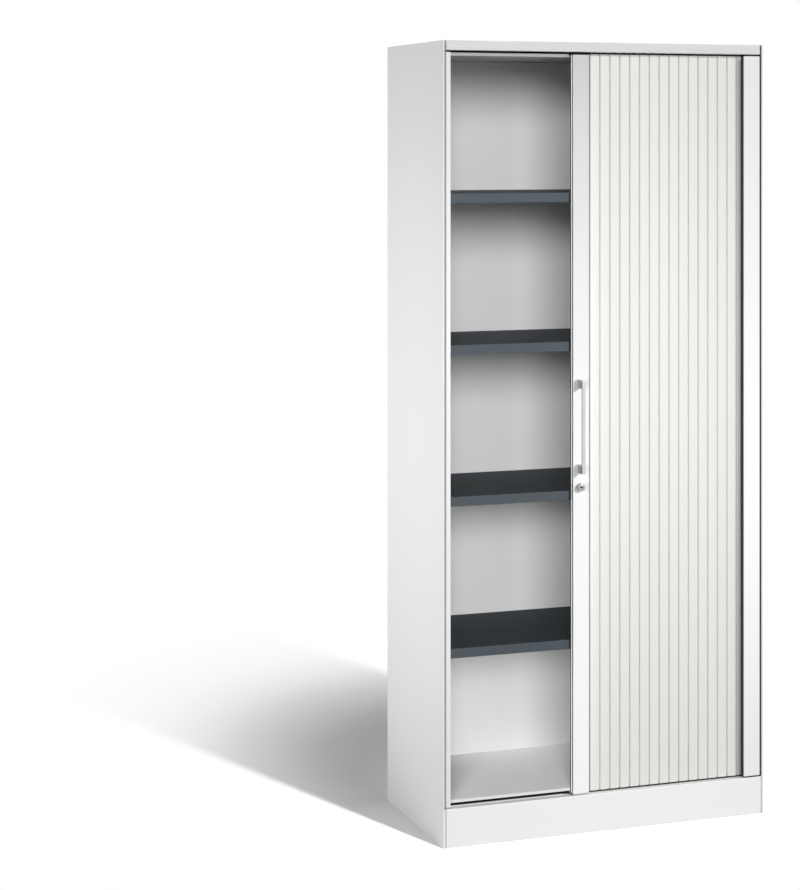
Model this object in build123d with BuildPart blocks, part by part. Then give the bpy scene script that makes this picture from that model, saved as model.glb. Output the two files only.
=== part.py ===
"""Roll front cabinet: a tall sheet-steel cabinet whose tambour shutter slides sideways.

Millimetres, +Z up. The origin is the centre of the footprint on the floor, with the
handle's reach counted in, and the shutter front faces -Y. At rest the shutter is half
open: its leading rail stands between the two front posts.
"""
import os
from math import cos, pi, sin

from build123d import *

# ---------------------------------------------------------------- overall sizes
cabinet_width = 880.0
cabinet_depth = 425.0
cabinet_height = 1980.0
sheet = 1.2                      # thickness of the steel sheet
bend_radius = 1.6                # of a fold, at the middle of the sheet
clearance = 0.3                  # between pieces that move past each other
running_clearance = 0.05         # on the radius of a shaft in its bore
cut_margin = 1.0                 # a cutting shape reaches this far past the piece

# ---------------------------------------------------------------- front of the carcass
side_edge_width = 5.0            # the folded front edge of a side panel
side_fold_depth = 16.0
joint_gap = 4.5                  # shadow joint between a side panel and its neighbours
joint_depth = 3.0                # of that joint beside the plinth
fascia_height = 24.5
fascia_return = 12.0
top_joint = 4.5                  # open joint under the fascia
plinth_height = 95.0
plinth_return = 16.0
bottom_joint = 3.5               # open joint above the plinth
left_post_width = 12.5
left_post_recess = 3.0
right_post_width = 46.5
right_post_return = 12.0
seal_thickness = 1.4

# ---------------------------------------------------------------- inner box
side_wall_gap = 20.8             # from the outside of the left panel to its inner wall
pocket_width = 54.0              # from the outside of the right panel to its inner wall
back_gap = 25.0                  # from the outside of the back to the inner back wall
inner_front_setback = 30.0       # front edges of floor and roof behind the front plane
pocket_wall_setback = 5.0        # front edge of the right inner wall behind those
base_height = 90.0               # top of the base plate
floor_height = 107.0             # top of the floor the lowest goods stand on
floor_edge_height = 7.0
roof_drop = 37.0                 # underside of the compartments' roof below the top
roof_edge_height = 8.0
wall_flange = 15.0

# ---------------------------------------------------------------- shelves
shelf_count = 4
slot_spacing = 25.0                # of the slots in the uprights
slots_per_compartment = 15
lowest_shelf_height = 478.0
shelf_lip = 24.0
shelf_lip_return = 10.0
shelf_setback = 38.0             # front edge behind the front plane
shelf_rear_clearance = 4.0
shelf_side_clearance = 0.5
upright_width = 25.0
upright_depth = 6.0
upright_inset = 70.0             # from the front plane, and from the inner back wall
slot_width = 5.0
slot_height = 15.0
clip_thickness = 1.5
clip_width = 14.0
clip_reach = 10.0
clip_drop = 16.0
clip_tooth_height = 8.0
clip_tooth_reach = 3.0

# ---------------------------------------------------------------- tambour shutter
slat_spacing = 27.5
slat_thickness = 8.0
slat_gap = 1.7                   # groove between two slats
slat_recess = 19.0               # slat faces behind the front plane
slat_bevel_width = 3.4
slat_bevel_depth = 1.2
slat_rear_width = 19.0
tongue_reach = 2.3
tongue_thickness = 1.5
tongue_inset = 2.5               # tongue behind the slat's face
tongue_slot_depth = 1.9
tongue_slot_clearance = 0.5
guide_length = 11.0
guide_thickness = 3.0
guide_reach = 14.0               # of the upper guides above the slats
slat_lift = 3.2                  # lower ends of the slats above the base plate
corner_radius = 42.0
rear_corner_radius = 30.0
side_run_inset = 20.0            # curtain in the pocket, from the outside of the side panel
back_run_length = 420.0
track_width = 9.0
track_wall = 2.5
track_groove_depth = 13.0
lower_track_width = 12.0
lower_track_height = 2.6
lower_groove_floor = 0.6
rear_wall_height = 6.5           # of the lower track, behind the slats
rear_wall_thickness = 1.6

# ---------------------------------------------------------------- leading rail
rail_width = 42.5
rail_depth = 27.0
rail_wall = 1.8
rail_left_at_rest = 348.0        # its leading edge from the outside of the left panel
rail_to_slats = 9.5
rail_groove = 4.0
rail_lip = 2.5
rail_rib = 8.0
rail_flange_depth = 7.5
cap_thickness = 2.5
cap_plug = 10.0
cap_guide_length = 30.0
edge_seal_width = 3.4
edge_seal_depth = 2.0

# ---------------------------------------------------------------- handle and lock
handle_inset = 15.2              # middle of the handle from the rail's leading edge
handle_length = 234.0
handle_reach = 29.5
handle_width = 9.0
handle_bar = 5.0
handle_foot = 22.0
handle_centre_height = 1019.5
handle_edge_radius = 1.2
handle_screw_radius = 2.5
handle_screw_depth = 12.0
screw_head_radius = 4.5
screw_head_height = 2.5
lock_height = 867.0
lock_inset = 18.0                # middle of the lock from the rail's leading edge
lock_bezel_radius = 10.0
lock_bezel_reach = 9.5
lock_barrel_radius = 8.0
lock_barrel_depth = 8.0
plug_radius = 6.0
plug_recess = 0.6
plug_depth = 9.5
key_slot_width = 7.5
key_slot_height = 2.4
key_slot_depth = 6.0
hook_thickness = 2.5
hook_hub_radius = 8.0
hook_width = 8.0
hook_length = 27.75
hook_nose_reach = 5.5
hook_nose_height = 5.6
hook_slot_above = 5.0
hook_slot_below = 30.0
keeper_thickness = 1.5
keeper_slot_below = 24.5
keeper_margin = 8.0
keeper_slot_margin = 1.5

# ---------------------------------------------------------------- screws of the back
back_screw_rows = 6
back_screw_inset = 10.0          # from the outside of the side panels
back_screw_radius = 3.5
back_screw_head = 1.6
back_screw_shank_radius = 1.6
back_screw_length = 6.0

# ---------------------------------------------------------------- places worked out
left_x = -cabinet_width / 2
right_x = cabinet_width / 2
front_y = -(cabinet_depth + back_screw_head - handle_reach) / 2
back_y = front_y + cabinet_depth
top_z = cabinet_height
base_z = base_height
panel_under_top = top_z - sheet
roof_height = top_z - roof_drop
fascia_bottom = top_z - fascia_height
body_top = fascia_bottom - top_joint
body_bottom = plinth_height + bottom_joint
joint_left = left_x + side_edge_width + joint_gap
joint_right = right_x - side_edge_width - joint_gap
inner_left = left_x + side_wall_gap + sheet
inner_right = right_x - pocket_width
inner_front = front_y + inner_front_setback
inner_back = back_y - back_gap
back_panel_y = back_y - 2 * sheet
post_left_edge = joint_left + left_post_width
post_right_edge = joint_right - right_post_width
curtain_y = front_y + slat_recess + slat_thickness / 2
side_run_x = right_x - side_run_inset
corner_x = side_run_x - corner_radius
side_run_start = curtain_y + corner_radius
back_run_y = back_panel_y - (back_panel_y - inner_back - sheet) / 2
side_run_end = back_run_y - rear_corner_radius
rail_x = left_x + rail_left_at_rest
rail_centre = rail_x + rail_width / 2
handle_line = rail_x + handle_inset
lock_line = rail_x + lock_inset
slats_x = rail_x + rail_width + rail_to_slats
visible_slats = int((corner_x - slats_x) // slat_spacing)
corner_length = pi / 2 * corner_radius
stored_run = corner_length + side_run_end - side_run_start
stored_slats = int((corner_x + stored_run - slats_x) // slat_spacing) - visible_slats
shelf_spacing = slot_spacing * slots_per_compartment
slat_bottom = base_z + slat_lift
guide_bottom = base_z + lower_groove_floor + clearance
upper_track_bottom = fascia_bottom + sheet + clearance
hook_y = front_y + plug_depth
handle_bottom = handle_centre_height - handle_length / 2
handle_top = handle_centre_height + handle_length / 2
handle_feet_z = (handle_bottom + handle_foot / 2, handle_top - handle_foot / 2)
screw_spacing = (cabinet_height - 2 * plinth_height) / (back_screw_rows - 1)

os.makedirs("parts", exist_ok=True)


def block(x_span, y_span, z_span, mode=Mode.ADD):
    """Box between two corners, given as its span along each axis."""
    middle = ((x_span[0] + x_span[1]) / 2, (y_span[0] + y_span[1]) / 2, (z_span[0] + z_span[1]) / 2)
    with Locations(middle):
        Box(x_span[1] - x_span[0], y_span[1] - y_span[0], z_span[1] - z_span[0], mode=mode)


def folded(points, plane, length):
    """Sheet folded along a line of points at its mid-thickness, extruded from a plane."""
    with BuildPart() as strip:
        with BuildSketch(plane):
            with BuildLine():
                FilletPolyline(*points, radius=bend_radius)
            trace(line_width=sheet)
        extrude(amount=length)
    return strip.part


def edges_at(edges, axis, position):
    """Those of some edges whose middle lies at a position along an axis."""
    return edges.filter_by_position(axis, position - 0.01, position + 0.01)


def back_screws_part(radius, start_y, length):
    """The cylinders of one radius in all the screws of the back, from start_y backwards."""
    with BuildPart() as cylinders:
        for side in (-1, 1):
            screw_x = side * (right_x - back_screw_inset)
            for row in range(back_screw_rows):
                screw_z = plinth_height + row * screw_spacing
                with Locations(Location((screw_x, start_y + length / 2, screw_z), (90, 0, 0))):
                    Cylinder(radius, length)
    return cylinders.part


def write(piece, name):
    """Label a finished piece and write its STEP file."""
    piece.part.label = name
    export_step(piece.part, f"parts/{name}.step")


# ================================================================ carcass
half = sheet / 2


def side_panel_part():
    """Left outer panel: a full-height skin with folded front, rear and top edges."""
    with BuildPart() as skin:
        add(folded(
            [
                (left_x + side_edge_width - half, front_y + side_fold_depth),
                (left_x + side_edge_width - half, front_y + half),
                (left_x + half, front_y + half),
                (left_x + half, back_y - half),
                (left_x + side_fold_depth, back_y - half),
            ],
            Plane.XY,
            cabinet_height,
        ))
        block(
            (left_x + sheet, left_x + side_edge_width),
            (front_y + sheet, back_y - sheet),
            (panel_under_top, top_z),
        )
    return skin.part


screw_holes = back_screws_part(
    back_screw_shank_radius + running_clearance,
    back_panel_y - cut_margin,
    2 * sheet + 2 * cut_margin,
)

with BuildPart() as left_side_panel:
    add(side_panel_part())
    add(screw_holes, mode=Mode.SUBTRACT)
write(left_side_panel, "left_side_panel")

with BuildPart() as right_side_panel:
    add(mirror(side_panel_part(), about=Plane.YZ))
    add(screw_holes, mode=Mode.SUBTRACT)
write(right_side_panel, "right_side_panel")

with BuildPart() as top_panel:
    add(folded(
        [
            (front_y + fascia_return, fascia_bottom + half),
            (front_y + half, fascia_bottom + half),
            (front_y + half, top_z - half),
            (back_panel_y - half, top_z - half),
            (back_panel_y - half, fascia_bottom),
        ],
        Plane.YZ.offset(joint_left),
        joint_right - joint_left,
    ))
    for flange_x in (joint_left, joint_right - sheet):
        block(
            (flange_x, flange_x + sheet),
            (front_y + sheet, back_panel_y - sheet),
            (fascia_bottom + sheet, panel_under_top),
        )
write(top_panel, "top_panel")

with BuildPart() as back_panel:
    block(
        (left_x + sheet + bend_radius, right_x - sheet - bend_radius),
        (back_panel_y, back_y - sheet),
        (0, panel_under_top),
    )
    add(screw_holes, mode=Mode.SUBTRACT)
write(back_panel, "back_panel")

with BuildPart() as back_screws:
    # screws through the rear folds of the side panels into the back panel
    add(back_screws_part(back_screw_radius, back_y, back_screw_head))
    add(back_screws_part(back_screw_shank_radius, back_y - back_screw_length, back_screw_length))
write(back_screws, "back_screws")

with BuildPart() as base_panel:
    block(
        (left_x + sheet, right_x - sheet),
        (front_y + side_fold_depth, back_panel_y),
        (base_z - sheet, base_z),
    )
    block(
        (left_x + side_edge_width, right_x - side_edge_width),
        (front_y + joint_depth + sheet, front_y + side_fold_depth),
        (base_z - sheet, base_z),
    )
write(base_panel, "base_panel")

with BuildPart() as plinth_front:
    add(folded(
        [
            (front_y + plinth_return, half),
            (front_y + half, half),
            (front_y + half, plinth_height - half),
            (front_y + plinth_return, plinth_height - half),
        ],
        Plane.YZ.offset(joint_left),
        joint_right - joint_left,
    ))
    # end tabs close the joint to the side panels a little way behind the front
    for tab_x in (joint_left - joint_gap, joint_right - sheet):
        block(
            (tab_x, tab_x + joint_gap + sheet),
            (front_y + joint_depth, front_y + joint_depth + sheet),
            (sheet, plinth_height - sheet),
        )
write(plinth_front, "plinth_front")

with BuildPart() as plinth_rear:
    add(folded(
        [
            (back_panel_y - plinth_return, half),
            (back_panel_y - half, half),
            (back_panel_y - half, base_z - sheet - half),
            (back_panel_y - plinth_return, base_z - sheet - half),
        ],
        Plane.YZ.offset(left_x + sheet),
        cabinet_width - 2 * sheet,
    ))
write(plinth_rear, "plinth_rear")

with BuildPart() as plinth_sides:
    # a channel along each side between the front and rear plinth, under the base plate
    channel_front = front_y + side_fold_depth + clearance
    channel_back = back_panel_y - plinth_return - clearance
    for side in (-1, 1):
        add(folded(
            [
                (side * (right_x - sheet - plinth_return), half),
                (side * (right_x - sheet - half), half),
                (side * (right_x - sheet - half), base_z - sheet - half),
                (side * (right_x - sheet - plinth_return), base_z - sheet - half),
            ],
            Plane.XZ.offset(-channel_back),
            channel_back - channel_front,
        ))
write(plinth_sides, "plinth_sides")

with BuildPart() as left_front_post:
    add(folded(
        [
            (joint_left + half, inner_front),
            (joint_left + half, front_y + left_post_recess + half),
            (post_left_edge - half, front_y + left_post_recess + half),
            (post_left_edge - half, inner_front),
        ],
        Plane.XY.offset(body_bottom),
        body_top - body_bottom,
    ))
    # slot that the lock's hook swings into when the shutter is shut
    block(
        (post_left_edge - 2 * sheet, post_left_edge + sheet),
        (hook_y - keeper_slot_margin, hook_y + hook_thickness + keeper_slot_margin),
        (lock_height - keeper_slot_below, lock_height + hook_slot_above),
        mode=Mode.SUBTRACT,
    )
write(left_front_post, "left_front_post")

with BuildPart() as lock_keeper:
    keeper_y = (front_y + left_post_recess + 2 * sheet, inner_front - 2 * sheet)
    keeper_x = (post_left_edge - sheet - keeper_thickness, post_left_edge - sheet)
    block(
        keeper_x,
        keeper_y,
        (lock_height - keeper_slot_below - keeper_margin, lock_height + hook_slot_above + keeper_margin),
    )
    block(
        (keeper_x[0] - sheet, keeper_x[1] + sheet),
        (hook_y - keeper_slot_margin, hook_y + hook_thickness + keeper_slot_margin),
        (lock_height - keeper_slot_below, lock_height + hook_slot_above),
        mode=Mode.SUBTRACT,
    )
write(lock_keeper, "lock_keeper")

with BuildPart() as right_front_post:
    add(folded(
        [
            (post_right_edge + half, front_y + right_post_return),
            (post_right_edge + half, front_y + half),
            (joint_right - half, front_y + half),
            (joint_right - half, front_y + side_fold_depth + half),
            (right_x - sheet, front_y + side_fold_depth + half),
        ],
        Plane.XY.offset(body_bottom),
        body_top - body_bottom,
    ))
write(right_front_post, "right_front_post")

with BuildPart() as post_seal:
    block(
        (post_right_edge - seal_thickness, post_right_edge),
        (front_y + sheet, front_y + right_post_return),
        (body_bottom, body_top),
    )
write(post_seal, "post_seal")

# ================================================================ inner box
with BuildPart() as left_inner_wall:
    add(folded(
        [
            (joint_left + sheet, inner_front + half),
            (inner_left - half, inner_front + half),
            (inner_left - half, inner_back - half),
            (joint_left + sheet, inner_back - half),
        ],
        Plane.XY.offset(base_z),
        panel_under_top - base_z,
    ))
write(left_inner_wall, "left_inner_wall")

with BuildPart() as right_inner_wall:
    block(
        (inner_right, inner_right + sheet),
        (inner_front + pocket_wall_setback, inner_back),
        (base_z, panel_under_top),
    )
write(right_inner_wall, "right_inner_wall")

with BuildPart() as back_inner_wall:
    block(
        (joint_left + sheet, inner_right + sheet),
        (inner_back, inner_back + sheet),
        (base_z, panel_under_top),
    )
write(back_inner_wall, "back_inner_wall")


def tray(outer_x, outer_y, face_z, edge_z, rim_z):
    """Pan with a face at face_z, its front edge reaching edge_z and its other rims rim_z."""
    towards = 1 if rim_z > face_z else -1
    inside = face_z + towards * sheet
    with BuildPart() as pan:
        block(outer_x, outer_y, sorted((face_z, inside)))
        block(outer_x, (outer_y[0], outer_y[0] + sheet), sorted((inside, edge_z)))
        block(outer_x, (outer_y[1] - sheet, outer_y[1]), sorted((inside, rim_z)))
        for rim_x in (outer_x[0], outer_x[1] - sheet):
            block((rim_x, rim_x + sheet), (outer_y[0] + wall_flange, outer_y[1]), sorted((inside, rim_z)))
        front_edges = edges_at(pan.edges().filter_by(Axis.X), Axis.Y, outer_y[0])
        fillet(edges_at(front_edges, Axis.Z, face_z), radius=sheet * 0.9)
    return pan.part


with BuildPart() as floor_panel:
    add(tray(
        (inner_left, inner_right),
        (inner_front, inner_back),
        floor_height,
        floor_height - floor_edge_height,
        base_z,
    ))
write(floor_panel, "floor_panel")

with BuildPart() as roof_panel:
    add(tray(
        (inner_left, inner_right),
        (inner_front, inner_back),
        roof_height,
        roof_height + roof_edge_height,
        panel_under_top,
    ))
write(roof_panel, "roof_panel")

# ================================================================ uprights and shelves
upright_front_y = front_y + upright_inset
upright_rear_y = inner_back - upright_inset - upright_width
slot_count = int((roof_height - floor_height - slot_spacing) // slot_spacing)
# the slots are counted from the one that carries the lowest shelf
slots_below = int((lowest_shelf_height - shelf_lip - floor_height - slot_spacing) // slot_spacing)
carrying_slot_z = lowest_shelf_height - shelf_lip - clip_drop / 2
first_slot_z = carrying_slot_z - slots_below * slot_spacing


def upright(wall_x, inward, start_y):
    """Slotted U-channel on a side wall; inward is +1 on the left wall, -1 on the right."""
    face_x = wall_x + inward * (upright_depth - half)
    with BuildPart() as channel:
        add(folded(
            [
                (wall_x, start_y + half),
                (face_x, start_y + half),
                (face_x, start_y + upright_width - half),
                (wall_x, start_y + upright_width - half),
            ],
            Plane.XY.offset(floor_height),
            roof_height - floor_height,
        ))
        middle = (face_x, start_y + upright_width / 2, first_slot_z + (slot_count - 1) * slot_spacing / 2)
        with BuildSketch(Plane(origin=middle, x_dir=(0, 1, 0), z_dir=(1, 0, 0))):
            with GridLocations(slot_width, slot_spacing, 1, slot_count):
                Rectangle(slot_width, slot_height)
        extrude(amount=2 * sheet, both=True, mode=Mode.SUBTRACT)
    return channel.part


for upright_name, upright_wall, upright_inward, upright_y in (
    ("upright_front_left", inner_left, 1, upright_front_y),
    ("upright_rear_left", inner_left, 1, upright_rear_y),
    ("upright_front_right", inner_right, -1, upright_front_y),
    ("upright_rear_right", inner_right, -1, upright_rear_y),
):
    with BuildPart() as shelf_upright:
        add(upright(upright_wall, upright_inward, upright_y))
    write(shelf_upright, upright_name)

shelf_x = (
    inner_left + upright_depth + clip_thickness + shelf_side_clearance,
    inner_right - upright_depth - clip_thickness - shelf_side_clearance,
)
shelf_y = (front_y + shelf_setback, inner_back - shelf_rear_clearance)
shelf_heights = [lowest_shelf_height + n * shelf_spacing for n in range(shelf_count)]

for number, shelf_top in enumerate(shelf_heights, start=1):
    with BuildPart() as shelf:
        block(shelf_x, shelf_y, (shelf_top - shelf_lip, shelf_top))
        block(
            (shelf_x[0] + sheet, shelf_x[1] - sheet),
            (shelf_y[0] + sheet, shelf_y[1] - sheet),
            (shelf_top - shelf_lip, shelf_top - sheet),
            mode=Mode.SUBTRACT,
        )
        block(
            (shelf_x[0] + sheet, shelf_x[1] - sheet),
            (shelf_y[0] + sheet, shelf_y[0] + sheet + shelf_lip_return),
            (shelf_top - shelf_lip, shelf_top - shelf_lip + sheet),
        )
        front_edges = edges_at(shelf.edges().filter_by(Axis.X), Axis.Y, shelf_y[0])
        fillet(front_edges, radius=sheet * 0.9)
    write(shelf, f"shelf_{number}")

with BuildPart() as shelf_clips:
    # each clip is hooked into a slot by its tooth and carries a lip of the shelf on its ledge
    for shelf_top in shelf_heights:
        ledge_z = shelf_top - shelf_lip
        tooth_z = ledge_z - clip_drop / 2
        for clip_wall, inward in ((inner_left, 1), (inner_right, -1)):
            web_x = clip_wall + inward * upright_depth
            for clip_y in (upright_front_y + upright_width / 2, upright_rear_y + upright_width / 2):
                across = (clip_y - clip_width / 2, clip_y + clip_width / 2)
                block(
                    sorted((web_x, web_x + inward * clip_thickness)),
                    across,
                    (ledge_z - clip_drop, ledge_z),
                )
                block(
                    sorted((web_x, web_x + inward * clip_reach)),
                    across,
                    (ledge_z - clip_thickness, ledge_z),
                )
                block(
                    sorted((web_x - inward * clip_tooth_reach, web_x)),
                    (clip_y - slot_width / 2 + clearance, clip_y + slot_width / 2 - clearance),
                    (tooth_z - clip_tooth_height / 2, tooth_z + clip_tooth_height / 2),
                )
write(shelf_clips, "shelf_clips")

# ================================================================ tracks of the shutter


def track_band(across, inward, low, tall):
    """Upright band along the shutter's path: front, right corner, pocket and back.

    Its middle lies a distance inward of the path, towards the inside of the bends.
    """
    run_front, run_side, run_back = curtain_y + inward, side_run_x - inward, back_run_y - inward
    back_run_x = side_run_x - rear_corner_radius
    quarter = 90.0
    with BuildPart() as band:
        with BuildLine() as path:
            Line((post_left_edge + clearance, run_front), (corner_x, run_front))
            CenterArc((corner_x, side_run_start), corner_radius - inward, -quarter, quarter)
            Line((run_side, side_run_start), (run_side, side_run_end))
            CenterArc((back_run_x, side_run_end), rear_corner_radius - inward, 0, quarter)
            Line((back_run_x, run_back), (back_run_x - back_run_length, run_back))
        with BuildSketch(Plane.XY.offset(low)):
            trace(path.line, line_width=across)
        extrude(amount=tall)
    return band.part


groove_width = track_width - 2 * track_wall

with BuildPart() as upper_track:
    add(track_band(track_width, 0, upper_track_bottom, panel_under_top - upper_track_bottom))
    add(track_band(groove_width, 0, upper_track_bottom, track_groove_depth), mode=Mode.SUBTRACT)
write(upper_track, "upper_track")

with BuildPart() as lower_track:
    # a shallow groove with a higher wall behind the slats
    groove_floor_z = base_z + lower_groove_floor
    rear_wall_inward = (lower_track_width - rear_wall_thickness) / 2
    add(track_band(lower_track_width, 0, base_z, lower_track_height))
    add(track_band(rear_wall_thickness, rear_wall_inward, base_z, rear_wall_height))
    add(track_band(groove_width, 0, groove_floor_z, lower_track_height), mode=Mode.SUBTRACT)
write(lower_track, "lower_track")

# ================================================================ slats
slat_face = slat_spacing - slat_gap
slat_front = -slat_thickness / 2
slat_half = slat_face / 2
tongue_front = slat_front + tongue_inset
tongue_back = tongue_front + tongue_thickness


def on_path(distance):
    """Plane of a slat whose middle lies this far along the path past the corner's start."""
    if distance <= 0:
        place = (corner_x + distance, curtain_y)
        turn = 0.0
    elif distance <= corner_length:
        turn = distance / corner_radius
        place = (
            corner_x + corner_radius * sin(turn),
            side_run_start - corner_radius * cos(turn),
        )
    else:
        turn = pi / 2
        place = (side_run_x, side_run_start + distance - corner_length)
    return Plane(origin=(*place, 0), x_dir=(cos(turn), sin(turn), 0), z_dir=(0, 0, 1))


def slat_part(plane, interlocked=True):
    """One slat with a bevelled edge, its interlock and the guide at each of its ends."""
    reach = tongue_reach if interlocked else 0.0
    section = [
        (-slat_half, slat_front),
        (slat_half - slat_bevel_width, slat_front),
        (slat_half, slat_front + slat_bevel_depth),
        (slat_half, tongue_front),
        (slat_half + reach, tongue_front),
        (slat_half + reach, tongue_back),
        (slat_half, tongue_back),
        (slat_rear_width / 2, -slat_front),
        (-slat_rear_width / 2, -slat_front),
        (-slat_half, tongue_back + 2 * tongue_slot_clearance),
        (-slat_half, tongue_back + tongue_slot_clearance),
        (-slat_half + tongue_slot_depth, tongue_back + tongue_slot_clearance),
        (-slat_half + tongue_slot_depth, tongue_front - tongue_slot_clearance),
        (-slat_half, tongue_front - tongue_slot_clearance),
    ]
    outline = [point for n, point in enumerate(section) if n == 0 or point != section[n - 1]]
    guide_top = body_top + guide_reach
    with BuildPart() as slat:
        with BuildSketch(plane.offset(slat_bottom)):
            with BuildLine():
                Polyline(*outline, close=True)
            make_face()
        extrude(amount=body_top - slat_bottom)
        with BuildSketch(plane.offset(guide_bottom)):
            Rectangle(guide_length, guide_thickness)
        extrude(amount=guide_top - guide_bottom)
    return slat.part


def slat_distance(number):
    """How far the middle of a slat lies past the start of the corner."""
    return slats_x + (number - 0.5) * slat_spacing - corner_x


for number in range(1, visible_slats + 1):
    with BuildPart() as slat:
        add(slat_part(on_path(slat_distance(number)), interlocked=number < visible_slats))
    write(slat, f"slat_{number:02d}")

stored_numbers = range(visible_slats + 1, visible_slats + stored_slats + 1)

with BuildPart() as corner_slats:
    for number in stored_numbers:
        if slat_distance(number) <= corner_length:
            add(slat_part(on_path(slat_distance(number)), interlocked=False))
write(corner_slats, "corner_slats")

with BuildPart() as pocket_slats:
    for number in stored_numbers:
        if slat_distance(number) > corner_length:
            add(slat_part(on_path(slat_distance(number))))
write(pocket_slats, "pocket_slats")

# ================================================================ leading rail
rail_bottom = body_bottom + cap_thickness
rail_top = body_top - cap_thickness
rail_right = rail_x + rail_width
rail_back = front_y + rail_depth
groove_front_y = front_y + rail_lip
groove_rear_y = groove_front_y + rail_groove + rail_rib
rail_flange_x = slats_x - slat_gap / 2
rail_flange_y = rail_back - rail_flange_depth

with BuildPart() as leading_rail:
    with BuildSketch(Plane.XY.offset(rail_bottom)):
        with BuildLine():
            Polyline(
                (rail_x, front_y),
                (rail_right, front_y),
                (rail_right, rail_flange_y),
                (rail_flange_x, rail_flange_y),
                (rail_flange_x, curtain_y + tongue_front),
                (rail_flange_x + tongue_reach, curtain_y + tongue_front),
                (rail_flange_x + tongue_reach, curtain_y + tongue_back),
                (rail_flange_x, curtain_y + tongue_back),
                (rail_flange_x, rail_back),
                (rail_x, rail_back),
                (rail_x, groove_rear_y + rail_groove),
                (rail_x + rail_groove, groove_rear_y + rail_groove),
                (rail_x + rail_groove, groove_rear_y),
                (rail_x, groove_rear_y),
                (rail_x, groove_front_y + rail_groove),
                (rail_x + rail_groove, groove_front_y + rail_groove),
                (rail_x + rail_groove, groove_front_y),
                (rail_x, groove_front_y),
                close=True,
            )
        make_face()
        cavity_x = (rail_x + rail_groove + rail_wall, rail_right - rail_wall)
        cavity_y = (front_y + rail_wall, rail_back - rail_wall)
        with Locations(((cavity_x[0] + cavity_x[1]) / 2, (cavity_y[0] + cavity_y[1]) / 2)):
            Rectangle(cavity_x[1] - cavity_x[0], cavity_y[1] - cavity_y[0], mode=Mode.SUBTRACT)
    extrude(amount=rail_top - rail_bottom)
    front_edges = edges_at(leading_rail.edges().filter_by(Axis.Z), Axis.Y, front_y)
    fillet(front_edges, radius=rail_wall / 2)
    with BuildSketch(Plane(origin=(lock_line, front_y - cut_margin, lock_height), z_dir=(0, 1, 0))):
        Circle(lock_barrel_radius + clearance)
    extrude(amount=rail_wall + 2 * cut_margin, mode=Mode.SUBTRACT)
    for foot_z in handle_feet_z:
        with BuildSketch(Plane(origin=(handle_line, front_y - cut_margin, foot_z), z_dir=(0, 1, 0))):
            Circle(handle_screw_radius + running_clearance)
        extrude(amount=rail_wall + 2 * cut_margin, mode=Mode.SUBTRACT)
    # mouth in the leading side for the hook's swing
    block(
        (rail_x - cut_margin, cavity_x[0] + cut_margin),
        (hook_y - keeper_slot_margin / 2, hook_y + hook_thickness + keeper_slot_margin / 2),
        (lock_height - hook_slot_below, lock_height + hook_slot_above),
        mode=Mode.SUBTRACT,
    )
write(leading_rail, "leading_rail")

with BuildPart() as rail_caps:
    # a cap closes each end of the rail and carries the guide that runs in the track
    guide_top = body_top + guide_reach
    for cap_z, plug_z, guide_z in (
        ((body_bottom, rail_bottom), (rail_bottom, rail_bottom + cap_plug), (guide_bottom, body_bottom)),
        ((rail_top, body_top), (rail_top - cap_plug, rail_top), (body_top, guide_top)),
    ):
        block((rail_x, rail_right), (front_y, rail_back), cap_z)
        block(cavity_x, cavity_y, plug_z)
        block(
            (rail_centre - cap_guide_length / 2, rail_centre + cap_guide_length / 2),
            (curtain_y - guide_thickness / 2, curtain_y + guide_thickness / 2),
            guide_z,
        )
write(rail_caps, "rail_caps")

with BuildPart() as edge_seals:
    # a rubber strip lies at the bottom of each groove of the leading side
    for groove_y in (groove_front_y, groove_rear_y):
        seal_x = (rail_x + rail_groove - edge_seal_depth, rail_x + rail_groove)
        seal_y = (
            groove_y + (rail_groove - edge_seal_width) / 2,
            groove_y + (rail_groove + edge_seal_width) / 2,
        )
        block(seal_x, seal_y, (rail_bottom, rail_top))
write(edge_seals, "edge_seals")

# ================================================================ handle
handle_x = (handle_line - handle_width / 2, handle_line + handle_width / 2)

with BuildPart() as handle:
    block(handle_x, (front_y - handle_reach, front_y), (handle_bottom, handle_top))
    block(
        (handle_x[0] - cut_margin, handle_x[1] + cut_margin),
        (front_y - handle_reach + handle_bar, front_y + cut_margin),
        (handle_bottom + handle_foot, handle_top - handle_foot),
        mode=Mode.SUBTRACT,
    )
    fillet(edges_at(handle.edges(), Axis.Y, front_y - handle_reach), radius=handle_edge_radius)
    for foot_z in handle_feet_z:
        with BuildSketch(Plane(origin=(handle_line, front_y, foot_z), z_dir=(0, -1, 0))):
            Circle(handle_screw_radius + running_clearance)
        extrude(amount=handle_screw_depth, mode=Mode.SUBTRACT)
write(handle, "handle")

with BuildPart() as handle_screws:
    # screws from inside the rail, through its front wall, up into the handle's feet
    for foot_z in handle_feet_z:
        with BuildSketch(Plane(origin=(handle_line, front_y + rail_wall, foot_z), z_dir=(0, 1, 0))):
            Circle(screw_head_radius)
        extrude(amount=screw_head_height)
        with BuildSketch(Plane(origin=(handle_line, front_y + rail_wall, foot_z), z_dir=(0, -1, 0))):
            Circle(handle_screw_radius)
        extrude(amount=rail_wall + handle_screw_depth - clearance)
write(handle_screws, "handle_screws")

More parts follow.
